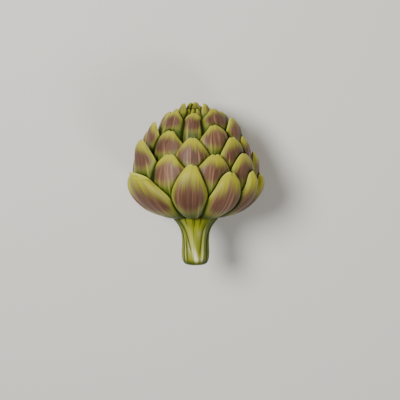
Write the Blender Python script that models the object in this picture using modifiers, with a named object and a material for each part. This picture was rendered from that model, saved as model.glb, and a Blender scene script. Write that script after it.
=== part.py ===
"""Globe artichoke with a short cut stem, lying on its side.

The head is first modelled upright around +Z, with its front towards -Y and its cut stem end at
the height 0. It is then turned by an empty so that it lies on three of its bracts: the front
faces up (+Z), the tip of the head points along +Y and slightly down, and the cut stem end is
held in the air. Where a bract presses on the surface it lies on, it has a small flat.

The bracts (the leaves of the head) grow in rows. Each row lies in its own bowl-shaped layer
around the receptacle, just inside the row before it, so no bract runs through another.
"""
import math
from collections import namedtuple

import bmesh
import bpy
import numpy as np

MM = 0.001

# The outside of the head, as the outer face of its first row of bracts.
EQUATOR_HEIGHT = 65.0 * MM      # where the head is widest, above the cut stem end
HEAD_RADIUS = 50.0 * MM
BOWL_DEPTH = 32.2 * MM          # from the widest level down to the lowest point of the bowl

# Each row lies inside the one before it by these amounts.
ROW_PITCH_SIDE = 4.3 * MM
ROW_PITCH_BELOW = 3.5 * MM
BRACT_THICKNESS_SIDE = 3.6 * MM
BRACT_THICKNESS_BELOW = 2.8 * MM
EDGE_THICKNESS_SHARE = 0.3
DOME_POWER = 2.2                # how late a row bends inwards above the widest level

# Stem and receptacle, turned as one profile: (radius, height) from the top down.
RECEPTACLE_PROFILE = (
    (0.0, 58.3), (7.5, 58.0), (12.0, 56.6), (15.5, 54.0), (17.3, 51.0), (17.9, 47.0),
    (17.6, 43.0), (16.8, 39.0), (16.4, 36.2), (17.4, 34.9), (15.8, 32.6), (13.2, 29.4),
    (11.3, 26.0), (10.3, 22.0), (9.8, 17.0), (9.7, 10.0), (9.9, 5.0), (9.2, 2.2), (7.4, 0.6),
    (5.6, 0.0), (0.0, 0.0),
)
STEM_SEGMENTS = 36

# How the head lies.
NOSE_DOWN = math.radians(10.5)  # tilt of the head's axis, its tip lower than its stem
FLAT_DEPTH = 1.0 * MM           # depth of bract pressed flat where it meets the surface
FLOOR_CUTTER_SIZE = 0.4

# A row of bracts. Azimuths and half_angle in degrees, heights, radii and lengths in millimetres.
# The widest part of a bract is its crown's length below its tip.
Row = namedtuple("Row", "azimuths base_radius tip_height tip_radius half_angle "
                        "crown columns crown_steps colour")


def evenly(count, first):
    return tuple(first + 360.0 * number / count for number in range(count))


ROWS = (
    Row((0.0, 37.0, 64.0, 91.0, 123.0, 160.0, 200.0, 236.0, 272.0, 316.0),
        18.0, 72.0, 50.5, 17.6, 25.0, 6, 5, (0.36, 0.30, 0.13)),
    Row(evenly(9, 20.0), 20.2, 83.5, 44.6, 18.6, 17.0, 6, 4, (0.34, 0.27, 0.13)),
    Row(evenly(9, 0.0), 21.2, 95.0, 38.4, 18.4, 16.0, 6, 4, (0.33, 0.24, 0.13)),
    Row(evenly(7, 23.0), 21.4, 103.5, 30.6, 22.2, 13.0, 6, 3, (0.33, 0.24, 0.14)),
    Row(evenly(8, 0.0), 21.0, 112.5, 20.4, 19.6, 10.0, 5, 3, (0.34, 0.26, 0.14)),
    Row(evenly(7, 24.0), 19.4, 114.5, 14.2, 19.0, 8.0, 4, 3, (0.36, 0.32, 0.14)),
    Row((352.0, 22.0, 90.0, 160.0, 230.0, 318.0),
        16.4, 118.0, 7.6, 22.0, 9.0, 4, 3, (0.40, 0.38, 0.15)),
    Row((56.0, 195.0, 335.0),
        12.4, 119.5, 2.9, 36.0, 9.0, 4, 3, (0.44, 0.42, 0.16)),
)
LOWER_STEPS_DEG = (62.0, 41.0, 20.0, 0.0)   # bowl angles of the cross rows below the crown
LONGEST_SPAN = 20.0 * MM                    # between the bowl and the crown

# Bracts that stand differently from the rest of their row. Turn and sweep in degrees (sweep
# turns the tip further than the base), raise and flare in millimetres at the tip, and width as
# a share of the row's usual width.
Stance = namedtuple("Stance", "turn sweep raise_tip flare width")
STANCES = {
    "bract_row1_01": Stance(0.0, 2.8, 5.0, -0.6, 0.90),
    "bract_row1_02": Stance(0.0, 0.0, -0.5, 0.0, 0.83),
    "bract_row1_03": Stance(0.0, 0.0, -1.0, -0.5, 0.65),
    "bract_row1_04": Stance(0.0, 0.0, -1.0, 0.0, 0.75),
    "bract_row1_05": Stance(0.0, 0.0, -1.0, 0.0, 0.95),
    "bract_row1_08": Stance(0.0, -3.0, 0.0, 0.0, 0.95),
    "bract_row1_09": Stance(0.0, -9.0, -4.0, -1.0, 0.97),
    "bract_row1_10": Stance(3.0, -18.0, -1.5, 4.0, 1.10),
    "bract_row2_01": Stance(2.0, 3.0, 0.0, 0.0, 0.95),
    "bract_row2_08": Stance(8.0, -9.0, 9.0, -0.5, 0.67),
    "bract_row3_01": Stance(3.0, 0.0, 0.0, 0.0, 1.0),
    "bract_row3_02": Stance(11.0, 0.0, 0.0, 0.0, 0.86),
    "bract_row3_03": Stance(0.0, 0.0, 0.0, 0.0, 0.70),
    "bract_row3_08": Stance(-4.0, 0.0, 4.5, -2.0, 0.80),
    "bract_row3_09": Stance(-1.0, -2.0, -15.0, 3.0, 1.0),
    "bract_row4_01": Stance(12.0, 0.0, 0.0, 0.0, 0.87),
    "bract_row4_02": Stance(0.0, 0.0, 4.5, -0.5, 0.87),
    "bract_row4_06": Stance(6.0, 0.0, 2.0, 1.0, 0.80),
    "bract_row4_07": Stance(-2.0, -2.0, -4.0, 0.5, 1.0),
    "bract_row5_01": Stance(2.0, 0.0, -1.0, 0.0, 1.0),
    "bract_row5_02": Stance(0.0, 0.0, 1.5, 0.0, 1.0),
    "bract_row5_08": Stance(6.0, 1.0, 0.5, 0.0, 1.0),
    "bract_row6_01": Stance(10.0, 0.0, 3.0, 0.0, 0.95),
    "bract_row6_07": Stance(-5.0, 0.0, 2.0, -1.0, 0.85),
    "bract_row7_01": Stance(0.0, 0.0, -1.0, 1.2, 0.65),
    "bract_row7_02": Stance(0.0, 0.0, -1.0, 1.2, 0.65),
    "bract_row7_06": Stance(0.0, 0.0, -1.0, 1.2, 0.72),
    "bract_row8_03": Stance(0.0, 0.0, 1.0, -0.9, 0.72),
}
STRAIGHT = Stance(0.0, 0.0, 0.0, 0.0, 1.0)

STEM_COLOUR = (0.33, 0.36, 0.09)
BRACT_ROUGHNESS = 0.5
STEM_ROUGHNESS = 0.4


def clear_scene():
    for scene_object in list(bpy.data.objects):
        bpy.data.objects.remove(scene_object, do_unlink=True)


def new_collection(name):
    collection = bpy.data.collections.new(name)
    bpy.context.scene.collection.children.link(collection)
    return collection


def skin_material(name, colour, roughness):
    material = bpy.data.materials.new(name)
    material.use_nodes = True
    shader = material.node_tree.nodes["Principled BSDF"]
    shader.inputs["Base Color"].default_value = (*colour, 1.0)
    shader.inputs["Roughness"].default_value = roughness
    shader.inputs["Metallic"].default_value = 0.0
    return material


def row_profile(row_index, row, stance):
    """Radii, heights and bowl angles along a row's inner face, from the receptacle to the tip."""
    side = HEAD_RADIUS - row_index * ROW_PITCH_SIDE - BRACT_THICKNESS_SIDE
    depth = BOWL_DEPTH - row_index * ROW_PITCH_BELOW - BRACT_THICKNESS_BELOW
    base_angle = math.acos(row.base_radius * MM / side)
    bowl_angles = np.linspace(base_angle, 0.0, 40)
    bowl_radii = side * np.cos(bowl_angles)
    bowl_heights = EQUATOR_HEIGHT - depth * np.sin(bowl_angles)
    tip_height = (row.tip_height + stance.raise_tip) * MM
    tip_radius = (row.tip_radius + stance.flare) * MM - BRACT_THICKNESS_BELOW
    climb = np.linspace(0.0, 1.0, 41)[1:]
    dome_radii = side + (tip_radius - side) * climb ** DOME_POWER
    dome_heights = EQUATOR_HEIGHT + (tip_height - EQUATOR_HEIGHT) * climb
    radii = np.concatenate((bowl_radii, dome_radii))
    heights = np.concatenate((bowl_heights, dome_heights))
    angles = np.concatenate((bowl_angles, np.zeros(len(climb))))
    return radii, heights, angles


def cross_rows(row, lengths, angles):
    """Distances from the base at which the straight cross rows lie, up to the widest line."""
    total = lengths[-1]
    widest = total - row.crown * MM
    steps = [0.0]
    for step_angle in LOWER_STEPS_DEG:
        bend = math.radians(step_angle)
        if bend >= angles[0]:
            continue
        at_bend = float(np.interp(-bend, -angles[:40], lengths[:40]))
        if steps[-1] + 3.0 * MM < at_bend < widest - 4.0 * MM:
            steps.append(at_bend)
    spans = math.ceil((widest - steps[-1]) / LONGEST_SPAN)
    steps.extend(np.linspace(steps[-1], widest, spans + 1)[1:])
    return steps


def bract_mesh(name, row_index, row, stance, azimuth):
    """An open sheet for the inner face of a bract, and how thick it is at each point."""
    radii, heights, angles = row_profile(row_index, row, stance)
    lengths = np.concatenate(([0.0], np.cumsum(np.hypot(np.diff(radii), np.diff(heights)))))
    total = lengths[-1]
    lower = cross_rows(row, lengths, angles)
    widest = lower[-1]
    half_angle = math.radians(row.half_angle) * stance.width
    grid = []
    for distance in lower[:-1]:
        grid.append([(across, 1.0, distance, 0.0) for across in columns(row)])
    for step in range(row.crown_steps + 1):
        rise = step / row.crown_steps
        line = []
        for across in columns(row):
            narrow = math.sqrt(1.0 - 0.5 * rise * rise) * (1.0 - 0.22 * rise ** 2)
            lift = rise * math.sqrt(1.0 - 0.5 * across * across)
            line.append((across, narrow, widest + (total - widest) * lift, rise))
        grid.append(line)

    sheet = bmesh.new()
    thickness = []
    corners = []
    for line in grid:
        corner_line = []
        for across, narrow, distance, rise in line:
            radius = float(np.interp(distance, lengths, radii))
            height = float(np.interp(distance, lengths, heights))
            share = distance / total
            turn = math.radians(azimuth + stance.turn + stance.sweep * share ** 3)
            turn += across * narrow * half_angle
            point = (radius * math.sin(turn), -radius * math.cos(turn), height)
            corner_line.append(sheet.verts.new(point))
            fullness = (1.0 - across * across) * (1.0 - rise ** 3)
            below = math.sin(float(np.interp(distance, lengths, angles)))
            deepest = 1.0 - (1.0 - BRACT_THICKNESS_BELOW / BRACT_THICKNESS_SIDE) * below
            share_here = EDGE_THICKNESS_SHARE + (1.0 - EDGE_THICKNESS_SHARE) * fullness
            thickness.append(deepest * share_here)
        corners.append(corner_line)
    for lower_line, upper_line in zip(corners, corners[1:]):
        for left in range(len(lower_line) - 1):
            sheet.faces.new((lower_line[left], lower_line[left + 1],
                             upper_line[left + 1], upper_line[left]))
    mesh = bpy.data.meshes.new(name)
    sheet.to_mesh(mesh)
    sheet.free()
    return mesh, thickness


def columns(row):
    return [-1.0 + 2.0 * step / row.columns for step in range(row.columns + 1)]


def add_bract(name, row_index, row, azimuth, collection, parent):
    stance = STANCES.get(name, STRAIGHT)
    mesh, thickness = bract_mesh(name, row_index, row, stance, azimuth)
    bract = bpy.data.objects.new(name, mesh)
    collection.objects.link(bract)
    bract.parent = parent
    mesh.materials.append(skin_material(name + "_skin", row.colour, BRACT_ROUGHNESS))
    fullness = bract.vertex_groups.new(name="fullness")
    for index, share in enumerate(thickness):
        fullness.add([index], share, "REPLACE")
    shell = bract.modifiers.new("thickness", "SOLIDIFY")
    shell.thickness = BRACT_THICKNESS_SIDE
    shell.offset = 1.0
    shell.vertex_group = fullness.name
    return bract


def add_rows(collection, parent):
    bracts = []
    for row_index, row in enumerate(ROWS):
        for number, azimuth in enumerate(row.azimuths, start=1):
            name = f"bract_row{row_index + 1}_{number:02d}"
            bracts.append(add_bract(name, row_index, row, azimuth, collection, parent))
    return bracts


def add_stem(collection, parent):
    """The stem and the receptacle it swells into, grown as one piece."""
    mesh = bpy.data.meshes.new("stem")
    outline = bmesh.new()
    points = [outline.verts.new((radius * MM, 0.0, height * MM))
              for radius, height in RECEPTACLE_PROFILE]
    for upper, lower in zip(points, points[1:]):
        outline.edges.new((upper, lower))
    outline.to_mesh(mesh)
    outline.free()
    stem = bpy.data.objects.new("stem", mesh)
    collection.objects.link(stem)
    stem.parent = parent
    mesh.materials.append(skin_material("stem_skin", STEM_COLOUR, STEM_ROUGHNESS))
    turning = stem.modifiers.new("turning", "SCREW")
    turning.steps = STEM_SEGMENTS
    turning.render_steps = STEM_SEGMENTS
    turning.use_merge_vertices = True
    turning.merge_threshold = 0.01 * MM
    turning.use_smooth_shade = True
    return stem


def world_box(scene_objects):
    """The lowest and highest corner of the given objects together, with their modifiers."""
    depsgraph = bpy.context.evaluated_depsgraph_get()
    corners = []
    for scene_object in scene_objects:
        evaluated = scene_object.evaluated_get(depsgraph)
        mesh = evaluated.to_mesh()
        count = len(mesh.vertices)
        flat = np.empty(count * 3)
        mesh.vertices.foreach_get("co", flat)
        matrix = np.array(evaluated.matrix_world)
        placed = flat.reshape(count, 3) @ matrix[:3, :3].T + matrix[:3, 3]
        corners.append(placed)
        evaluated.to_mesh_clear()
    every = np.concatenate(corners)
    return every.min(axis=0), every.max(axis=0)


def lay_down(holder, pieces):
    """Turn the head onto its side, sink it by the depth of its flats and centre it."""
    holder.rotation_euler = (-(math.pi / 2.0 + NOSE_DOWN), 0.0, 0.0)
    bpy.context.view_layer.update()
    low, high = world_box(pieces)
    centre = (low + high) / 2.0
    holder.location = (-centre[0], -centre[1], -low[2] - FLAT_DEPTH)
    bpy.context.view_layer.update()


def add_floor_cutter(collection):
    cutter_mesh = bpy.data.meshes.new("floor_cutter")
    block = bmesh.new()
    bmesh.ops.create_cube(block, size=FLOOR_CUTTER_SIZE)
    bmesh.ops.translate(block, verts=block.verts, vec=(0.0, 0.0, -FLOOR_CUTTER_SIZE / 2.0))
    block.to_mesh(cutter_mesh)
    block.free()
    cutter = bpy.data.objects.new("floor_cutter", cutter_mesh)
    collection.objects.link(cutter)
    cutter.hide_render = True
    cutter.display_type = "WIRE"
    return cutter


def press_flat(pieces, cutter):
    """Cut the bracts that reach below the surface level with it."""
    for piece in pieces:
        low, _ = world_box([piece])
        if low[2] < 0.0:
            flat = piece.modifiers.new("flat", "BOOLEAN")
            flat.operation = "DIFFERENCE"
            flat.solver = "EXACT"
            flat.object = cutter


def main():
    clear_scene()
    artichoke = new_collection("artichoke")
    cutters = new_collection("artichoke_cutters")
    holder = bpy.data.objects.new("lying_position", None)
    artichoke.objects.link(holder)
    stem = add_stem(artichoke, holder)
    bracts = add_rows(artichoke, holder)
    pieces = [stem] + bracts
    lay_down(holder, pieces)
    press_flat(pieces, add_floor_cutter(cutters))


main()
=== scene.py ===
"""Looks of the globe artichoke: every bract and the stem remade as fine meshes over the frame.

The head is shaped upright around +Z with its front towards -Y, in the same rows as the frame,
and each mesh is then placed where the frame holds the piece that it stands for.
"""
import math
import random
from collections import namedtuple

import bpy
import numpy as np
from mathutils import Matrix, Vector
from mathutils.bvhtree import BVHTree


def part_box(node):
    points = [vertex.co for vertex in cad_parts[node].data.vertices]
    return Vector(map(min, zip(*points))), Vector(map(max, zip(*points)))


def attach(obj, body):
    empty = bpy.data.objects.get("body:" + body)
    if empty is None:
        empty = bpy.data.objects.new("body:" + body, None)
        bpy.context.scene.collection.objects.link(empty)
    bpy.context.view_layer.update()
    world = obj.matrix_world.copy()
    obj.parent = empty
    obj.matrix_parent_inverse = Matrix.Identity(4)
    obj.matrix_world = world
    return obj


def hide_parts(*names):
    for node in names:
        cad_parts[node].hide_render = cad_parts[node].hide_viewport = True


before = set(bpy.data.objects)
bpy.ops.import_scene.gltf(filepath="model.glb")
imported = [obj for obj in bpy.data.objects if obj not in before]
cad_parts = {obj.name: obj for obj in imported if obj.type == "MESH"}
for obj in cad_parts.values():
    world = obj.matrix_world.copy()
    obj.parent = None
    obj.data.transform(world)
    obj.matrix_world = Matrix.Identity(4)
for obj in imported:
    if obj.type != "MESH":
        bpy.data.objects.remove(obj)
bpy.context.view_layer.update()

MM = 0.001

# The head, in its own upright frame: the same driving sizes as the frame's.
EQUATOR_HEIGHT = 65.0 * MM
HEAD_RADIUS = 50.0 * MM
BOWL_DEPTH = 32.2 * MM
ROW_PITCH_SIDE = 4.3 * MM
ROW_PITCH_BELOW = 3.5 * MM
BRACT_THICKNESS_SIDE = 3.6 * MM
BRACT_THICKNESS_BELOW = 2.8 * MM
DOME_POWER = 2.2
NOSE_DOWN = math.radians(10.5)

# A row of bracts. Azimuths and half_angle in degrees, heights, radii and lengths in millimetres.
# seen is the length of bract that shows above the row before it, plump its middle thickness,
# taper the share by which its crown (the part above its widest line) narrows to the tip.
Row = namedtuple("Row", "azimuths base_radius tip_height tip_radius half_angle "
                        "crown seen plump taper")


def evenly(count, first):
    """Azimuths of a row's bracts, evenly spaced from the first."""
    return tuple(first + 360.0 * number / count for number in range(count))


ROWS = (
    Row((0.0, 37.0, 64.0, 91.0, 123.0, 160.0, 200.0, 236.0, 272.0, 316.0),
        15.6, 72.0, 50.5, 18.4, 27.0, 42.0, 4.6, 0.30),
    Row(evenly(9, 20.0), 20.2, 83.5, 44.6, 20.6, 19.0, 25.0, 4.4, 0.26),
    Row(evenly(9, 0.0), 21.2, 95.0, 38.4, 20.6, 18.0, 24.0, 4.2, 0.28),
    Row(evenly(7, 23.0), 21.4, 103.5, 30.6, 25.6, 15.0, 21.0, 4.0, 0.28),
    Row(evenly(8, 0.0), 21.0, 112.5, 20.4, 22.4, 12.0, 18.0, 3.8, 0.26),
    Row(evenly(7, 24.0), 19.4, 114.5, 14.2, 20.0, 8.0, 10.0, 2.8, 0.22),
    Row((352.0, 22.0, 90.0, 160.0, 230.0, 318.0), 16.4, 118.0, 7.6, 26.0, 8.0, 9.0, 2.6, 0.20),
    Row((56.0, 195.0, 335.0), 12.4, 119.5, 2.9, 66.0, 8.0, 8.0, 2.0, 0.20),
)
FIRST_TIP_ROW = 5               # from this row on, the bracts are the small ones of the tip

# Bracts that stand differently from the rest of their row. turn and sweep are in degrees (sweep
# turns the tip further than the base), raise_tip, flare and lift in millimetres (lift moves the
# whole bract outwards). width is a share of the row's, spread a share of the width that is added
# near the base, and taper is added to the row's.
Stance = namedtuple("Stance", "turn sweep raise_tip flare width lift spread taper",
                    defaults=(0.0, 0.0, 0.0, 0.0, 1.0, 0.0, 0.1, 0.0))
STANCES = {
    "row1_01": Stance(0.0, 2.8, 5.0, -0.6, 0.95, 0.7, 0.0),
    "row1_02": Stance(-1.5, 1.0, -0.5, 0.0, 0.88, 0.4, 0.40, -0.14),
    "row1_03": Stance(0.0, 0.0, -1.0, -0.5, 0.74, 0.0, 0.60),
    "row1_04": Stance(0.0, 0.0, -3.5, 0.0, 0.80, -0.3, 0.50),
    "row1_05": Stance(0.0, 0.0, -1.0, 0.0, 1.0, -0.5, 0.35),
    "row1_06": Stance(width=1.06, spread=0.30),
    "row1_07": Stance(width=1.06, spread=0.30),
    "row1_08": Stance(0.0, -3.0, 0.0, 0.0, 1.04, -0.3, 0.35),
    "row1_09": Stance(1.0, -9.0, -4.0, -1.0, 1.08, 0.2, 0.45),
    "row1_10": Stance(5.0, -19.5, -1.9, 3.6, 1.42, 0.2, 0.0, -0.08),
    "row2_01": Stance(2.0, 3.0, width=0.97),
    "row2_08": Stance(13.5, -14.5, 9.5, -0.5, 0.95, 0.5),
    "row3_01": Stance(turn=3.0),
    "row3_02": Stance(turn=12.5, width=0.96),
    "row3_03": Stance(flare=-1.2, width=0.84),
    "row3_08": Stance(-8.0, 0.0, 5.0, -3.6, 0.78, -0.6),
    "row3_09": Stance(-1.0, -2.0, -19.0, 4.0),
    "row4_01": Stance(turn=12.0, width=0.97),
    "row4_02": Stance(0.0, 0.0, 5.0, -0.2, 0.98, -0.3),
    "row4_06": Stance(9.0, 0.0, 2.0, 2.6, 1.0, -0.6),
    "row4_07": Stance(-2.0, -2.0, -4.0, 0.5, 1.0, 0.3),
    "row5_01": Stance(2.0, 0.0, -0.8, 0.0, 1.08, 0.0, -0.45, -0.12),
    "row5_02": Stance(0.0, 0.0, 2.6, 1.2, 1.30, 0.3, 0.1, 0.16),
    "row5_08": Stance(6.0, 1.0, 1.2, 0.8, 1.16, 0.3, 0.1, 0.14),
    "row6_01": Stance(13.0, 0.0, 4.0, 0.4, 0.74),
    "row6_07": Stance(-6.0, 0.0, 4.0, 0.4, 0.68),
    "row7_01": Stance(3.0, 0.0, -3.6, 2.4, 0.52, 0.0, 0.1, -0.25),
    "row7_02": Stance(-6.0, 0.0, -3.4, 2.4, 0.54, 0.0, 0.1, -0.25),
    "row7_03": Stance(0.0, 0.0, -0.8, 0.6, 1.25),
    "row7_04": Stance(-4.0, 0.0, -1.4, -0.6, 1.3),
    "row7_05": Stance(0.0, 0.0, -1.2, -0.4, 1.3),
    "row7_06": Stance(13.0, 0.0, -3.6, 2.4, 0.52, 0.0, 0.1, -0.25),
    "row8_01": Stance(-50.0, 0.0, 0.1, 2.6, 0.66, 0.0, 0.1, -0.35),
    "row8_02": Stance(-28.0, 0.0, -1.5, -0.9, 1.35, 0.0, 0.1, -0.3),
    "row8_03": Stance(-21.0, 0.0, -0.3, 3.2, 0.56, 0.0, 0.1, -0.35),
}
STRAIGHT = Stance()

# Bract meshes: how many cells across, in the lower part and in the crown.
CELLS_ACROSS = 26
CELLS_BELOW = 14
CELLS_CROWN = 20
PROFILE_STEPS = 60              # points on a row's profile below its widest line, and above

# Outline of a bract. Shares of half its width, or of its crown, unless said otherwise.
EDGE_CROWDING = 0.35            # how much closer the cells lie near the sides
TOP_CROWDING = 1.5              # and near the tip, as a power
NOTCH_ASIDE = 0.22              # how far from the middle the tip's notch can lie
NOTCH_DEPTHS = (0.7 * MM, 1.4 * MM)
NOTCHED_CROWN = 16.0            # crown in millimetres that takes the whole of that depth
NOTCH_WIDTH = 0.17
LOBE_SHARE = 0.45               # of the notch's depth, given back as a lobe on either side
LOBE_WIDTH = 0.42
LEAN = 0.10                     # how far aside the tip can lean
WAVE = 0.02                     # of the sides along the bract
WAVE_TURN = 9.0                 # radians of wave from base to tip
HEEL_NARROWING = 0.06           # of the sides towards the base
HEEL_CORNER = 0.35              # how much its corners are drawn in
HEEL_BOW = 0.20                 # how much its corners are drawn up
CROWN_BOW = 0.5                 # 0.5 makes the crown half an ellipse, 0 would leave it square
SPREAD_ENDS = (0.2, 0.65)       # shares of the length from the tip between which spread sets in
CROWN_STEP = 0.4 * MM           # added to the lower part's distance from the tip's outline
SMALLEST_GAP = 1e-7
ON_OUTLINE = 0.9999

# Relief of a bract's faces. The pillow is the slow rise from the outline to the middle, the
# shoulder the quick round at the outline; the small bracts of the tip have their own.
PILLOW_REACH = 9.0 * MM
SHOULDER_RADIUS = 1.2 * MM
TIP_PILLOW_REACH = 3.5 * MM
TIP_SHOULDER_RADIUS = 0.8 * MM
SHOULDER_SHARE = 0.18           # of the thickness, the rest is the pillow's
HEEL_THINNING = 0.25            # share of the thickness lost towards the base
RIB_HEIGHT = 0.09 * MM
RIB_PITCHES = (13.0, 23.0)      # radians of rib over half the bract's width, coarse and fine
FINE_RIB_SHARE = 0.6
RIB_FADES = (0.5 * MM, 4.0 * MM)        # from the outline
KEEL_HEIGHT = 0.35 * MM
KEEL_WIDTH = 0.14               # as a share of half the bract's width
RIM_LIFT = 0.30 * MM            # of the outline off the row's inner face
INNER_DROP = 0.25 * MM          # of the inner face behind the outline
INNER_CLEARANCE = 0.3 * MM      # of an inner face over the surface

CREASE_REACH = 5.0 * MM         # how near another bract has to be for painted shade on the skin
SEED_STRETCH = 37.0             # how far apart the streaks of two bracts are drawn
DRAW_SEED = 20
Leaf = namedtuple("Leaf", "key row_index number points outer_count faces paint seed")

# Stem and receptacle, turned as one profile: (radius, height) in millimetres, from below.
STEM_PROFILE = (
    (0.0, 0.35), (4.0, 0.15), (6.4, 0.15), (8.3, 1.3), (9.5, 4.0), (10.0, 8.0), (9.8, 14.0),
    (9.9, 20.0), (10.6, 24.5), (12.2, 28.6), (14.5, 31.8), (16.4, 34.2), (17.1, 35.9),
    (16.9, 37.2), (16.6, 39.0), (17.4, 43.0), (17.7, 47.0), (17.1, 51.0), (15.3, 54.0),
    (11.8, 56.5), (7.4, 57.9), (0.0, 58.3),
)
STEM_ROUND = 180                # points round it
STEM_STEPS = 150                # points along its profile
STEM_TOP = 34.0 * MM            # height that the grooves' shares are measured by
STEM_ENDS = (0.3 * MM, 58.3 * MM)       # heights of the points that close it
STEM_TIP_PAINT = 58.0           # height in millimetres that the upper one is painted by
SMALLEST_RING = 0.2 * MM        # least radius of a ring
RELIEF_FADES = (36.0 * MM, 40.0 * MM)   # heights between which ribs and grooves die away

# Points of the frame's stem that its box depends on: (radius, height) in millimetres.
STEM_PROFILE_FRAME = (
    (0.0, 58.3), (7.5, 58.0), (12.0, 56.6), (15.5, 54.0), (17.3, 51.0), (17.9, 47.0),
    (17.6, 43.0), (16.8, 39.0), (17.4, 34.9), (9.9, 5.0), (9.2, 2.2), (7.4, 0.6), (5.6, 0.0),
)

# How early a groove moves over to its upper azimuth, as a power, and how far it fades: below and
# above its start, before its end and after it.
GROOVE_DRIFT = 0.8
GROOVE_FADES = (0.12, 0.15, 0.10)

# Grooves of the stem: azimuths in degrees at the cut end and where the stem meets the head,
# depth and half width in millimetres, and how far up it starts and ends as a share.
Groove = namedtuple("Groove", "foot top depth width start end")
GROOVES = (
    Groove(-49.0, -56.0, 0.45, 0.8, 0.10, 0.80), Groove(-30.0, -44.0, 0.30, 0.7, 0.10, 0.60),
    Groove(-3.0, -40.0, 0.50, 0.9, 0.30, 1.20), Groove(1.0, 3.0, 0.30, 0.7, 0.86, 1.20),
    Groove(22.0, 38.0, 0.35, 0.7, 0.25, 0.95), Groove(14.0, 20.0, 0.25, 0.7, 0.90, 1.20),
    Groove(62.0, 70.0, 0.50, 1.1, 0.10, 1.00), Groove(-17.0, -20.0, 0.25, 0.7, 0.88, 1.20),
    Groove(90.0, 96.0, 0.35, 0.9, 0.20, 0.90), Groove(118.0, 130.0, 0.45, 1.0, 0.15, 1.20),
    Groove(148.0, 146.0, 0.30, 0.8, 0.10, 0.80), Groove(171.0, 182.0, 0.40, 0.9, 0.20, 1.20),
    Groove(206.0, 214.0, 0.30, 0.9, 0.12, 0.90), Groove(240.0, 236.0, 0.45, 1.0, 0.18, 1.20),
    Groove(268.0, 262.0, 0.30, 0.8, 0.10, 0.80), Groove(288.0, 281.0, 0.40, 1.0, 0.12, 1.20),
)

# Pale ribs that stand proud between the grooves, in the same terms; their paleness is partly a
# painted highlight.
RIBS = (
    Groove(12.0, -24.0, 0.35, 2.4, 0.04, 1.20), Groove(35.0, 44.0, 0.30, 1.1, 0.06, 1.20),
    Groove(-40.0, -49.0, 0.25, 0.8, 0.10, 1.00), Groove(-62.0, -68.0, 0.25, 1.2, 0.10, 1.20),
    Groove(76.0, 83.0, 0.20, 1.2, 0.10, 1.20), Groove(98.0, 110.0, 0.30, 1.8, 0.08, 1.20),
    Groove(130.0, 137.0, 0.25, 1.5, 0.10, 1.20), Groove(160.0, 164.0, 0.30, 1.6, 0.08, 1.20),
    Groove(189.0, 198.0, 0.30, 1.9, 0.08, 1.20), Groove(223.0, 225.0, 0.25, 1.6, 0.10, 1.20),
    Groove(254.0, 249.0, 0.30, 1.6, 0.08, 1.20), Groove(278.0, 272.0, 0.25, 1.2, 0.10, 1.20),
)

# The camera: how far it stands round the head's axis from its front, how far above the tip's
# level it looks from, what it aims at (aside and up the axis) and how wide it sees there.
VIEW_AROUND = math.radians(6.0)
VIEW_ABOVE = math.radians(5.0)
VIEW_AIM = (3.3 * MM, 47.8 * MM)
VIEW_WIDTH = 294.0 * MM
CAMERA_DISTANCE = 0.95
CAMERA_FAR_END = 20.0
SENSOR_MM = 36.0

# Lights, in metres and watts: (name, place, size, power). All of them face the head.
LIGHTS = (
    ("key", (-0.40, 0.42, 1.05), 0.45, 17.0),
    ("fill", (0.60, -0.50, 0.95), 0.35, 4.0),
)
LIGHT_TARGET = (0.0, 0.0, 0.04)
LIGHT_UP = (0.0, 1.0, 0.01)
WORLD_STRENGTH = 0.2

FLOOR_HALF = 3.0
FLOOR_HEIGHT = -0.1 * MM
FLOOR_ROUGHNESS = 0.9


def srgb(red, green, blue):
    """A colour given in display values from 0 to 255, as linear values."""
    def linear(value):
        share = value / 255.0
        return share / 12.92 if share <= 0.04045 else ((share + 0.055) / 1.055) ** 2.4
    return (linear(red), linear(green), linear(blue), 1.0)


# ---------------------------------------------------------------- placing

def lying_matrix():
    """Where the frame holds the upright head: turned onto its side, fitted to the stem's box."""
    turn = Matrix.Rotation(-(math.pi / 2.0 + NOSE_DOWN), 4, "X")
    low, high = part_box("stem")
    own_low = [math.inf] * 3
    for radius, height in STEM_PROFILE_FRAME:
        along = turn @ Vector((0.0, 0.0, height * MM))
        reach = (radius * MM, radius * MM * math.sin(NOSE_DOWN), radius * MM * math.cos(NOSE_DOWN))
        for axis in range(3):
            own_low[axis] = min(own_low[axis], along[axis] - reach[axis])
    middle = (low[0] + high[0]) / 2.0
    shift = Vector((middle, low[1] - own_low[1], low[2] - own_low[2]))
    return Matrix.Translation(shift) @ turn


LYING = lying_matrix()


def placed(points):
    """Upright points (n, 3) as points of the row frame."""
    matrix = np.array(LYING)
    return points @ matrix[:3, :3].T + matrix[:3, 3]


def mesh_object(name, points, faces, attributes, material):
    """A smooth object in the scene, its attributes given per point as numbers or vectors."""
    mesh = bpy.data.meshes.new(name)
    mesh.from_pydata([tuple(point) for point in points.tolist()], [], faces)
    for attribute_name, values in attributes.items():
        values = np.asarray(values, dtype=np.float32)
        kind = "FLOAT_VECTOR" if values.ndim == 2 else "FLOAT"
        attribute = mesh.attributes.new(attribute_name, kind, "POINT")
        attribute.data.foreach_set("vector" if values.ndim == 2 else "value", values.ravel())
    mesh.materials.append(material)
    mesh.shade_smooth()
    mesh.update()
    piece = bpy.data.objects.new(name, mesh)
    bpy.context.scene.collection.objects.link(piece)
    return piece


# ---------------------------------------------------------------- bracts

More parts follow.
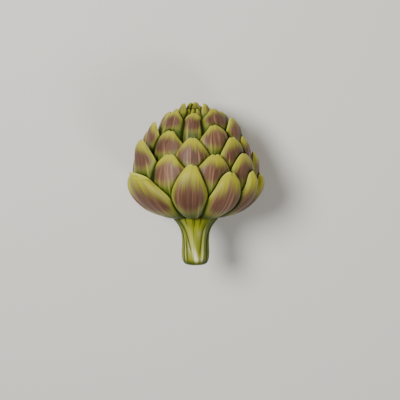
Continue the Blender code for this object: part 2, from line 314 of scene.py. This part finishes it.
def row_profile(row_index, row, stance):
    """Radii and heights along a row's inner face, from the receptacle to the tip."""
    side = HEAD_RADIUS - row_index * ROW_PITCH_SIDE - BRACT_THICKNESS_SIDE + stance.lift * MM
    depth = BOWL_DEPTH - row_index * ROW_PITCH_BELOW - BRACT_THICKNESS_BELOW
    base_angle = math.acos(row.base_radius * MM / side)
    bowl_angles = np.linspace(base_angle, 0.0, PROFILE_STEPS)
    tip_height = (row.tip_height + stance.raise_tip) * MM
    tip_radius = (row.tip_radius + stance.flare + stance.lift) * MM - BRACT_THICKNESS_BELOW
    climb = np.linspace(0.0, 1.0, PROFILE_STEPS + 1)[1:]
    radii = np.concatenate((side * np.cos(bowl_angles),
                            side + (tip_radius - side) * climb ** DOME_POWER))
    heights = np.concatenate((EQUATOR_HEIGHT - depth * np.sin(bowl_angles),
                              EQUATOR_HEIGHT + (tip_height - EQUATOR_HEIGHT) * climb))
    return radii, heights


def smooth_step(values, low, high):
    """0 below low, 1 above high, and a smooth climb between them."""
    share = np.clip((values - low) / (high - low), 0.0, 1.0)
    return share * share * (3.0 - 2.0 * share)


def around(radius, turn, height):
    """Points at a distance from the head's axis, turned round it from the front."""
    return np.stack((radius * np.sin(turn), -radius * np.cos(turn), height), axis=-1)


def rounded(edge, radius):
    """Height share of a round edge of the given radius, at a distance from the outline."""
    return np.sqrt(1.0 - (1.0 - np.clip(edge / radius, 0.0, 1.0)) ** 2)


def bract_grid(row, stance, total, draw):
    """The points of a bract's sheet, as grids from its base up.

    They are the share across, the share of the half angle that the point is turned by, the
    distance from the base, the share of the crown climbed, and how near the base it is.
    """
    steps = np.linspace(-1.0, 1.0, CELLS_ACROSS + 1)
    across = steps * (1.0 + EDGE_CROWDING - EDGE_CROWDING * steps ** 2)
    crown = row.crown * MM
    widest = total - crown
    lower = np.linspace(0.0, 1.0, CELLS_BELOW + 1)[:-1]
    rise = 1.0 - (1.0 - np.linspace(0.0, 1.0, CELLS_CROWN + 1)) ** TOP_CROWDING

    notch_at = draw.uniform(-NOTCH_ASIDE, NOTCH_ASIDE)
    notch_deep = draw.uniform(*NOTCH_DEPTHS) * min(1.0, row.crown / NOTCHED_CROWN)
    lean = draw.uniform(-LEAN, LEAN)
    wave_phase = draw.uniform(0.0, 2.0 * math.pi)

    a_low, v_low = np.meshgrid(across, lower)
    heel = 1.0 - v_low
    x_low = a_low * (1.0 - HEEL_NARROWING * heel) * np.sqrt(1.0 - HEEL_CORNER * heel ** 10)
    d_low = widest * (1.0 - heel * np.sqrt(1.0 - HEEL_BOW * a_low ** 2 * heel ** 4))

    a_up, v_up = np.meshgrid(across, rise)
    narrow = (np.sqrt(1.0 - CROWN_BOW * v_up ** 2)
              * (1.0 - (row.taper + stance.taper) * v_up ** 2))
    x_up = a_up * narrow + lean * v_up ** 2 * narrow * (1.0 - a_up ** 2)
    notch = (np.exp(-((a_up - notch_at) / NOTCH_WIDTH) ** 2)
             - LOBE_SHARE * np.exp(-((a_up - notch_at) / LOBE_WIDTH) ** 2))
    d_up = (widest + crown * v_up * np.sqrt(1.0 - CROWN_BOW * a_up ** 2)
            - notch_deep * notch * v_up ** 8)

    distance = np.vstack((d_low, d_up))
    wave = 1.0 + WAVE * np.sin(distance / total * WAVE_TURN + wave_phase)
    return (np.vstack((a_low, a_up)), np.vstack((x_low, x_up)) * wave, distance,
            np.vstack((np.zeros_like(a_low), v_up)), np.vstack((heel, np.zeros_like(a_up))))


def outline_distance(across, rise, heel, half_width, crown, below):
    """How far each point of a sheet lies from its outline, smooth where two sides meet."""
    side_gap = (1.0 - np.abs(across)) * half_width
    top_gap = (1.0 - rise) * crown + CROWN_STEP * (rise == 0.0)
    heel_gap = (1.0 - heel) * below
    gaps = np.maximum(np.stack((side_gap, top_gap, heel_gap), axis=-1), SMALLEST_GAP)
    edge = 1.0 / np.sum(1.0 / gaps ** 3, axis=-1) ** (1.0 / 3.0)
    outline = (np.abs(across) > ON_OUTLINE) | (rise > ON_OUTLINE) | (heel > ON_OUTLINE)
    return np.where(outline, 0.0, edge)


def bract_relief(row, shoulder, pillow, across, rise, heel, edge, draw):
    """How far a bract's outer face stands out: a pillow with fine ribs and a keel."""
    phase = draw.uniform(0.0, 2.0 * math.pi)
    plump = row.plump * MM * (1.0 - HEEL_THINNING * heel)
    coarse, fine = RIB_PITCHES
    ribs = (np.cos(across * coarse + phase)
            + FINE_RIB_SHARE * np.cos(across * fine + 2.1 * phase))
    rib_share = smooth_step(edge, *RIB_FADES) * (0.5 + 0.5 * rise)
    keel = np.exp(-(across / KEEL_WIDTH) ** 2) * smooth_step(rise, 0.1, 0.9)
    return (plump * (SHOULDER_SHARE * shoulder + (1.0 - SHOULDER_SHARE) * pillow)
            + RIB_HEIGHT * ribs * rib_share + KEEL_HEIGHT * keel * shoulder)


def bract_shape(row_index, row, stance, azimuth, draw):
    """Upright points of a bract's two faces and the values that its skin is painted by."""
    radii, heights = row_profile(row_index, row, stance)
    lengths = np.concatenate(([0.0], np.cumsum(np.hypot(np.diff(radii), np.diff(heights)))))
    total = lengths[-1]
    across, turn_share, distance, rise, heel = bract_grid(row, stance, total, draw)
    half_angle = math.radians(row.half_angle) * stance.width
    near_base = smooth_step(1.0 - distance / total, *SPREAD_ENDS)
    turn_share = turn_share * (1.0 + stance.spread * near_base)
    swept = stance.sweep * (distance / total) ** 3
    turn = np.radians(azimuth + stance.turn + swept) + turn_share * half_angle
    radius = np.interp(distance, lengths, radii)
    sheet = around(radius, turn, np.interp(distance, lengths, heights))

    leaning = np.interp(distance, lengths, np.gradient(radii, lengths))
    rising = np.interp(distance, lengths, np.gradient(heights, lengths))
    normal = around(rising, turn, -leaning)
    normal /= np.linalg.norm(normal, axis=-1, keepdims=True)

    crown = row.crown * MM
    edge = outline_distance(across, rise, heel, half_angle * radius, crown, total - crown)
    small = row_index >= FIRST_TIP_ROW
    shoulder = rounded(edge, TIP_SHOULDER_RADIUS if small else SHOULDER_RADIUS)
    climb = np.clip(edge / (TIP_PILLOW_REACH if small else PILLOW_REACH), 0.0, 1.0)
    relief = bract_relief(row, shoulder, np.sin(0.5 * math.pi * climb), across, rise, heel,
                          edge, draw)
    outer = sheet + normal * (RIM_LIFT + relief)[..., None]
    inner = sheet + normal * (RIM_LIFT - INNER_DROP * shoulder)[..., None]
    down = (total - distance) / (row.seen * MM)
    return outer, inner, across, edge, down


def closed_faces(lines, columns):
    """Faces of an outer and an inner grid that share their outline."""
    outer = np.arange(lines * columns).reshape(lines, columns)
    inner = outer.copy()
    inside = (slice(1, lines - 1), slice(1, columns - 1))
    count = (lines - 2) * (columns - 2)
    inner[inside] = lines * columns + np.arange(count).reshape(lines - 2, columns - 2)
    faces = []
    for line in range(lines - 1):
        for column in range(columns - 1):
            out = (outer[line, column], outer[line, column + 1],
                   outer[line + 1, column + 1], outer[line + 1, column])
            back = (inner[line, column], inner[line + 1, column],
                    inner[line + 1, column + 1], inner[line, column + 1])
            faces.extend(tuple(int(index) for index in corners) for corners in (out, back))
    return faces


def pressed(points, clearance):
    """Points in the row frame, the low ones brought up to a height over the surface."""
    flat = points.copy()
    flat[:, 2] = np.maximum(flat[:, 2], clearance)
    return flat


def make_leaf(row_index, row, number, draw):
    """One bract's name, placed points, faces and painted values."""
    key = f"row{row_index + 1}_{number + 1:02d}"
    stance = STANCES.get(key, STRAIGHT)
    outer, inner, across, edge, down = bract_shape(row_index, row, stance,
                                                   row.azimuths[number], draw)
    lines, columns = across.shape
    inside = (slice(1, lines - 1), slice(1, columns - 1))
    outer_points = pressed(placed(outer.reshape(-1, 3)), 0.0)
    inner_points = pressed(placed(inner[inside].reshape(-1, 3)), INNER_CLEARANCE)
    values = np.stack((across, edge / MM, down), axis=-1)
    return Leaf(key, row_index, number,
                np.vstack((outer_points, inner_points)), lines * columns,
                closed_faces(lines, columns),
                np.vstack((values.reshape(-1, 3), values[inside].reshape(-1, 3))),
                draw.uniform(0.0, 1.0))


def neighbours(leaf, leaves):
    """The bracts that can lie over this one: those beside it and those of the row before."""
    count = len(ROWS[leaf.row_index].azimuths)
    beside = {(leaf.number + 1) % count, (leaf.number - 1) % count}
    return [other for other in leaves
            if (other.row_index == leaf.row_index and other.number in beside)
            or other.row_index == leaf.row_index - 1]


def crease_distances(leaf, leaves, trees):
    """How far each outer point lies from the nearest neighbour, in millimetres."""
    near = np.full(len(leaf.points), CREASE_REACH / MM)
    others = [trees[other.key] for other in neighbours(leaf, leaves)]
    for index in range(leaf.outer_count):
        place = Vector(leaf.points[index])
        for tree in others:
            found = tree.find_nearest(place, CREASE_REACH)[3]
            if found is not None:
                near[index] = min(near[index], found / MM)
    return near


def add_leaves(draw):
    """Every bract, with painted shade where a neighbour lies close."""
    leaves = [make_leaf(row_index, row, number, draw)
              for row_index, row in enumerate(ROWS) for number in range(len(row.azimuths))]
    trees = {leaf.key: BVHTree.FromPolygons(leaf.points.tolist(), leaf.faces) for leaf in leaves}
    skins = {"bract_skin": bract_material("bract_skin", 1.0, 1.0),
             "tip_bract_skin": bract_material("tip_bract_skin", 0.75, 0.5)}
    for leaf in leaves:
        skin = "tip_bract_skin" if leaf.row_index >= FIRST_TIP_ROW else "bract_skin"
        attributes = {"leaf": leaf.paint, "leaf_seed": np.full(len(leaf.points), leaf.seed),
                      "leaf_near": crease_distances(leaf, leaves, trees)}
        piece = mesh_object(f"leaf_{leaf.key}", leaf.points, leaf.faces, attributes, skins[skin])
        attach(piece, "root")
        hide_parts(f"bract_{leaf.key}")


# ---------------------------------------------------------------- stem

def smooth_profile(points, steps):
    """Points on a smooth curve through the profile's points, evenly spaced along it."""
    knots = np.array(points) * MM
    chord = np.concatenate(([0.0], np.cumsum(np.linalg.norm(np.diff(knots, axis=0), axis=1))))
    slopes = np.gradient(knots, chord, axis=0)
    places = np.linspace(0.0, chord[-1], steps)
    which = np.clip(np.searchsorted(chord, places, side="right") - 1, 0, len(chord) - 2)
    span = (chord[which + 1] - chord[which])[:, None]
    share = ((places - chord[which])[:, None]) / span
    start, end = knots[which], knots[which + 1]
    out, back = slopes[which] * span, slopes[which + 1] * span
    square, cube = share ** 2, share ** 3
    return ((2 * cube - 3 * square + 1) * start + (cube - 2 * square + share) * out
            + (3 * square - 2 * cube) * end + (cube - square) * back)


def groove_shares(grooves, angle, height, radius):
    """How deep in a groove each point of the stem is, from 0 to 1, and its depth there.

    Ribs are given in the same way, with the height that they stand out instead of a depth.
    """
    share = np.zeros(np.broadcast_shapes(angle.shape, height.shape))
    cut = np.zeros_like(share)
    climb = height / STEM_TOP
    for groove in grooves:
        middle = (math.radians(groove.foot) + math.radians(groove.top - groove.foot)
                  * smooth_step(climb, 0.0, 1.0) ** GROOVE_DRIFT)
        away = np.abs((angle - middle + math.pi) % (2.0 * math.pi) - math.pi) * radius
        low, before, after = GROOVE_FADES
        fade = (smooth_step(climb, groove.start - low, groove.start + low)
                * (1.0 - smooth_step(climb, groove.end - before, groove.end + after)))
        here = np.exp(-(away / (groove.width * MM)) ** 2) * fade
        share = np.maximum(share, here)
        cut = np.maximum(cut, here * groove.depth * MM)
    return share, cut


def ring_faces(lines, columns):
    """Faces of stacked rings, closed by two points that follow the rings: bottom and top."""
    pairs = [(column, (column + 1) % columns) for column in range(columns)]
    top = (lines - 1) * columns
    below, above = lines * columns, lines * columns + 1
    faces = [(start + column, start + after, start + columns + after, start + columns + column)
             for start in range(0, top, columns) for column, after in pairs]
    for column, after in pairs:
        faces.extend(((below, after, column), (above, top + column, top + after)))
    return faces


def add_stem(material):
    """The stem: a turned profile with ribs and grooves along it, closed at both ends."""
    profile = smooth_profile(STEM_PROFILE, STEM_STEPS)[1:-1]
    radius = np.maximum(profile[:, 0], SMALLEST_RING)[:, None]
    height = profile[:, 1][:, None]
    angle = np.linspace(0.0, 2.0 * math.pi, STEM_ROUND, endpoint=False)[None, :]
    groove, cut = groove_shares(GROOVES, angle, height, radius)
    rib, raised = groove_shares(RIBS, angle, height, radius)
    in_relief = 1.0 - smooth_step(height, *RELIEF_FADES)
    reach = radius + in_relief * (raised - cut)
    rings = around(reach, angle, np.broadcast_to(height, reach.shape))
    ends = np.array([(0.0, 0.0, end) for end in STEM_ENDS])
    points = placed(np.vstack((rings.reshape(-1, 3), ends)))

    turn = np.broadcast_to(angle / (2.0 * math.pi), reach.shape)
    paint = np.stack((turn, groove, rings[..., 2] / MM), axis=-1).reshape(-1, 3)
    end_paint = [(0.0, 0.0, 0.0), (0.0, 0.0, STEM_TIP_PAINT)]
    attributes = {
        "stem": np.vstack((paint, end_paint)),
        "stem_radius": np.append(np.broadcast_to(radius / MM, reach.shape), (0.0, 0.0)),
        "stem_rib": np.append(rib, (0.0, 0.0)),
    }
    piece = mesh_object("ribbed_stem", points, ring_faces(*reach.shape), attributes, material)
    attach(piece, "root")
    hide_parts("stem")


# ---------------------------------------------------------------- materials

# Places of the colour sockets on a mix node.
MIX_FIRST, MIX_SECOND, MIX_COLOUR = 6, 7, 2


class Nodes:
    """Builds a material's node tree in a few words.

    Every method gives back the output that it makes, and takes outputs or plain values.
    """

    def __init__(self, name):
        self.material = bpy.data.materials.new(name)
        self.material.use_nodes = True
        self.tree = self.material.node_tree
        self.shader = self.tree.nodes["Principled BSDF"]

    def link(self, value, socket):
        if isinstance(value, bpy.types.NodeSocket):
            self.tree.links.new(value, socket)
        else:
            socket.default_value = value

    def attribute(self, name, output):
        node = self.tree.nodes.new("ShaderNodeAttribute")
        node.attribute_name = name
        return node.outputs[output]

    def split(self, vector):
        node = self.tree.nodes.new("ShaderNodeSeparateXYZ")
        self.link(vector, node.inputs[0])
        return node.outputs[0], node.outputs[1], node.outputs[2]

    def join(self, x, y, z):
        node = self.tree.nodes.new("ShaderNodeCombineXYZ")
        for value, socket in zip((x, y, z), node.inputs):
            self.link(value, socket)
        return node.outputs[0]

    def math(self, operation, first, second=0.0):
        node = self.tree.nodes.new("ShaderNodeMath")
        node.operation = operation
        self.link(first, node.inputs[0])
        self.link(second, node.inputs[1])
        return node.outputs[0]

    def span(self, value, low, high, out_low=0.0, out_high=1.0):
        """A smooth climb of the output between two values of the input."""
        node = self.tree.nodes.new("ShaderNodeMapRange")
        node.interpolation_type = "SMOOTHSTEP"
        for entry, socket in zip((value, low, high, out_low, out_high), node.inputs):
            self.link(entry, socket)
        return node.outputs[0]

    def noise(self, vector, detail):
        node = self.tree.nodes.new("ShaderNodeTexNoise")
        self.link(vector, node.inputs["Vector"])
        node.inputs["Scale"].default_value = 1.0
        node.inputs["Detail"].default_value = detail
        return node.outputs[0]

    def mix(self, share, first, second):
        node = self.tree.nodes.new("ShaderNodeMix")
        node.data_type = "RGBA"
        self.link(share, node.inputs[0])
        self.link(first, node.inputs[MIX_FIRST])
        self.link(second, node.inputs[MIX_SECOND])
        return node.outputs[MIX_COLOUR]

    def product(self, first, *others):
        for other in others:
            first = self.math("MULTIPLY", first, other)
        return first

    def stretched(self, x, y, z, scales):
        """A place in a noise, its first two directions stretched by their own scales."""
        return self.join(self.product(x, scales[0]), self.product(y, scales[1]), z)

    def skin(self, colour, roughness, normal, specular):
        """Link what the shader shows, and give back the material."""
        for name, value in (("Base Color", colour), ("Roughness", roughness),
                            ("Normal", normal), ("Specular IOR Level", specular)):
            self.link(value, self.shader.inputs[name])
        return self.material

    def bump(self, height, distance, strength):
        node = self.tree.nodes.new("ShaderNodeBump")
        node.inputs["Strength"].default_value = strength
        node.inputs["Distance"].default_value = distance
        self.link(height, node.inputs["Height"])
        return node.outputs[0]


def bract_material(name, blush, shade_scale):
    """Yellow-green tip, mauve-brown blush in lengthwise streaks, painted rim highlight, painted
    dark green shade.

    Spans along the bract are in shares of what shows of it, counted down from the tip, and
    spans from the edge and from a neighbour in millimetres.
    """
    nodes = Nodes(name)
    across, edge, down = nodes.split(nodes.attribute("leaf", "Vector"))
    near = nodes.attribute("leaf_near", "Fac")
    seed = nodes.product(nodes.attribute("leaf_seed", "Fac"), SEED_STRETCH)
    broad = nodes.noise(nodes.stretched(across, down, seed, (2.6, 0.6)), 1.0)
    streak = nodes.noise(nodes.stretched(across, down, seed, (9.0, 0.7)), 2.0)
    fine = nodes.noise(nodes.stretched(across, down, seed, (26.0, 1.6)), 2.0)

    green = nodes.mix(nodes.span(down, 0.05, 0.5), TIP_GREEN, MIDDLE_GREEN)
    # Painted shade: darker green towards the base, where the row before lies over the bract, and
    # darkest under it.
    green = nodes.mix(nodes.span(down, 0.70, 1.0), green, PAINTED_SHADE_GREEN)
    green = nodes.mix(nodes.span(down, 0.98, 1.25), green, PAINTED_DEEP_SHADE_GREEN)
    green = nodes.mix(nodes.span(streak, 0.50, 0.70, 0.0, 0.35), green, PALE_GREEN_AND_RIM_HIGHLIGHT)

    mauve = nodes.mix(nodes.span(broad, 0.35, 0.62), DARK_MAUVE, MAUVE)
    mauve = nodes.mix(nodes.span(streak, 0.52, 0.66, 0.0, 0.75), mauve, PALE_STREAK)
    mauve = nodes.mix(nodes.span(streak, 0.44, 0.32, 0.0, 0.6), mauve, DARK_MAUVE)

    # The blush: ragged where it ends, its ends bowed, and clear of the bract's edge.
    ragged = nodes.math("ADD", nodes.product(nodes.math("SUBTRACT", streak, 0.5), 0.55),
                        nodes.product(nodes.math("SUBTRACT", broad, 0.5), 0.3))
    bow = nodes.product(across, across, 0.22)
    top = nodes.math("SUBTRACT", nodes.math("ADD", down, ragged), bow)
    foot = nodes.math("ADD", nodes.math("ADD", down, nodes.product(ragged, 0.4)), bow)
    side = nodes.math("ADD", edge, nodes.product(ragged, 3.0))
    share = nodes.product(nodes.span(top, 0.08, 0.40), nodes.span(foot, 0.66, 0.98, 1.0, 0.0),
                          nodes.span(side, 0.6, 4.2), blush)
    colour = nodes.mix(share, green, mauve)

    colour = nodes.mix(nodes.span(fine, 0.54, 0.70, 0.0, 0.30), colour, PALE_STREAK)
    # A painted highlight: a pale rim along the outline, towards the tip.
    rim = nodes.product(nodes.span(edge, 0.2, 1.2, 0.8, 0.0),
                        nodes.span(down, 0.35, 0.8, 1.0, 0.0))
    colour = nodes.mix(rim, colour, PALE_GREEN_AND_RIM_HIGHLIGHT)
    # Painted shade where a neighbouring bract lies close: dark green, darkest nearest to it.
    shade = nodes.span(near, 0.8 * shade_scale, 4.2 * shade_scale, 0.45, 0.0)
    colour = nodes.mix(shade, colour, PAINTED_SHADE_GREEN)
    dark = nodes.span(near, 0.4 * shade_scale, 2.1 * shade_scale, 0.94, 0.0)
    colour = nodes.mix(dark, colour, PAINTED_DEEP_SHADE_GREEN)
    return nodes.skin(colour, nodes.span(streak, 0.3, 0.7, 0.60, 0.48),
                      nodes.bump(streak, 0.4 * MM, 0.5), nodes.span(near, 0.4, 3.5, 0.04, 0.3))


def stem_material():
    """Yellow-green skin with painted shade at its flanks, in its grooves and under the head,
    painted highlights on its lower front, and a paler cut end.

    Spans of height and radius are in millimetres. front is 1 on the side that faces forward.
    """
    nodes = Nodes("stem_skin")
    turn, groove, height = nodes.split(nodes.attribute("stem", "Vector"))
    out = nodes.attribute("stem_radius", "Fac")
    rib = nodes.attribute("stem_rib", "Fac")
    fine = nodes.noise(nodes.stretched(turn, height, 0.0, (60.0, 0.05)), 2.0)
    broad = nodes.noise(nodes.stretched(turn, height, 4.0, (14.0, 0.03)), 1.0)
    front = nodes.math("COSINE", nodes.product(turn, 2.0 * math.pi))

    # Painted light and shade: yellower on the front, greener towards the flanks and the back.
    colour = nodes.mix(nodes.span(front, 0.50, 1.0), STEM_GREEN, STEM_YELLOW)
    colour = nodes.mix(nodes.span(broad, 0.35, 0.65, 0.45, 0.0), colour, STEM_GREEN)
    colour = nodes.mix(nodes.span(fine, 0.55, 0.75, 0.0, 0.35), colour, STEM_PALE)
    # Pale ribs, paler towards the cut end as a painted highlight.
    lit = nodes.product(nodes.span(rib, 0.1, 1.0, 0.0, 0.75),
                        nodes.span(height, 36.0, 6.0, 0.25, 1.0))
    colour = nodes.mix(lit, colour, STEM_PALE)
    bare = nodes.math("SUBTRACT", 1.0, nodes.product(rib, 0.35))
    foot = nodes.product(nodes.span(height, 6.0, 1.2, 0.0, 0.95), bare)
    colour = nodes.mix(foot, colour, STEM_DARK)
    glint = nodes.product(nodes.span(rib, 0.45, 1.0), nodes.span(front, 0.7, 0.9),
                          nodes.span(height, 2.0, 4.5), nodes.span(height, 16.0, 6.0), 0.7)
    colour = nodes.mix(glint, colour, STEM_GLINT)
    # Painted shade on the flanks and the back.
    colour = nodes.mix(nodes.span(front, 0.55, 0.05, 0.0, 0.7), colour, STEM_DARK)
    # Painted shade on the flare, everywhere but its very front.
    flare = nodes.product(nodes.span(height, 22.0, 32.0, 0.0, 0.8),
                          nodes.span(front, 0.95, 0.6))
    colour = nodes.mix(flare, colour, PAINTED_SHADE_GREEN)
    # Painted shade in the grooves.
    colour = nodes.mix(nodes.span(groove, 0.10, 1.0, 0.0, 0.85), colour, STEM_DARK)
    # Painted deep shade where the stem goes in under the bracts.
    colour = nodes.mix(nodes.span(height, 33.8, 37.4), colour, PAINTED_DEEP_SHADE_GREEN)
    cut = nodes.product(nodes.span(out, 6.8, 8.0, 1.0, 0.0),
                        nodes.span(height, 1.0, 2.0, 1.0, 0.0))
    colour = nodes.mix(cut, colour, CUT_FLESH)
    sheen = nodes.product(nodes.span(height, 22.0, 32.0, 0.3, 0.06),
                          nodes.span(front, 0.3, 0.8, 0.2, 1.0))
    return nodes.skin(colour, nodes.span(fine, 0.3, 0.7, 0.40, 0.30),
                      nodes.bump(fine, 0.2 * MM, 0.4), sheen)


TIP_GREEN = srgb(174, 170, 36)
MIDDLE_GREEN = srgb(136, 140, 38)
# Painted shade greens, the second the darkest.
PAINTED_SHADE_GREEN = srgb(66, 82, 16)
PAINTED_DEEP_SHADE_GREEN = srgb(22, 32, 4)
# Pale green of the streaks, and of the painted highlight along the rim.
PALE_GREEN_AND_RIM_HIGHLIGHT = srgb(200, 196, 84)
MAUVE = srgb(106, 72, 54)
DARK_MAUVE = srgb(84, 54, 38)
PALE_STREAK = srgb(150, 114, 84)
STEM_YELLOW = srgb(140, 142, 34)
STEM_GREEN = srgb(86, 98, 24)
# Pale green for flecks and for the ribs, whose paleness is partly a painted highlight.
STEM_PALE = srgb(190, 190, 96)
# Dark green for painted shade on the stem's flanks and in its grooves, and for its darker foot.
STEM_DARK = srgb(44, 60, 12)
STEM_GLINT = srgb(236, 236, 196)
CUT_FLESH = srgb(186, 190, 130)
FLOOR_COLOUR = srgb(226, 222, 214)


# ---------------------------------------------------------------- stage

def add_floor():
    """A wide matt floor, a little below the object."""
    mesh = bpy.data.meshes.new("floor")
    corners = [(side * FLOOR_HALF, end * FLOOR_HALF, FLOOR_HEIGHT)
               for side, end in ((-1, -1), (1, -1), (1, 1), (-1, 1))]
    mesh.from_pydata(corners, [], [(0, 1, 2, 3)])
    material = bpy.data.materials.new("floor")
    material.use_nodes = True
    shader = material.node_tree.nodes["Principled BSDF"]
    shader.inputs["Base Color"].default_value = FLOOR_COLOUR
    shader.inputs["Roughness"].default_value = FLOOR_ROUGHNESS
    mesh.materials.append(material)
    floor = bpy.data.objects.new("floor", mesh)
    bpy.context.scene.collection.objects.link(floor)


def aim(thing, place, target, up):
    """Put a camera or light at a place, looking at the target with up as its upper side."""
    back = (place - target).normalized()
    right = up.cross(back).normalized()
    upper = back.cross(right)
    turn = Matrix((right, upper, back)).transposed().to_4x4()
    thing.matrix_world = Matrix.Translation(place) @ turn


def add_light(name, place, size, power):
    """A round area light."""
    data = bpy.data.lights.new(name, "AREA")
    data.shape = "DISK"
    data.size = size
    data.energy = power
    light = bpy.data.objects.new(name, data)
    bpy.context.scene.collection.objects.link(light)
    aim(light, Vector(place), Vector(LIGHT_TARGET), Vector(LIGHT_UP))


def add_lights():
    """The studio's lights and its even white surroundings."""
    for light in LIGHTS:
        add_light(*light)
    world = bpy.data.worlds.new("studio")
    world.use_nodes = True
    background = world.node_tree.nodes["Background"]
    background.inputs["Color"].default_value = (1.0, 1.0, 1.0, 1.0)
    background.inputs["Strength"].default_value = WORLD_STRENGTH
    bpy.context.scene.world = world


def add_camera():
    """A camera in front of the head and a little above its tip, the head's axis up the picture."""
    turn = LYING.to_3x3()
    toward = turn @ Vector((math.sin(VIEW_AROUND) * math.cos(VIEW_ABOVE),
                            -math.cos(VIEW_AROUND) * math.cos(VIEW_ABOVE),
                            math.sin(VIEW_ABOVE)))
    axis = turn @ Vector((0.0, 0.0, 1.0))
    right = turn @ Vector((math.cos(VIEW_AROUND), math.sin(VIEW_AROUND), 0.0))
    target = LYING @ Vector((0.0, 0.0, VIEW_AIM[1])) + right * VIEW_AIM[0]
    data = bpy.data.cameras.new("camera")
    data.sensor_width = SENSOR_MM
    data.lens = SENSOR_MM * CAMERA_DISTANCE / VIEW_WIDTH
    data.clip_end = CAMERA_FAR_END
    camera = bpy.data.objects.new("camera", data)
    bpy.context.scene.collection.objects.link(camera)
    aim(camera, target + toward * CAMERA_DISTANCE, target, axis)
    bpy.context.scene.camera = camera


def main():
    """The bracts, the stem, and what they are seen on and by."""
    add_leaves(random.Random(DRAW_SEED))
    add_stem(stem_material())
    add_floor()
    add_lights()
    add_camera()


main()
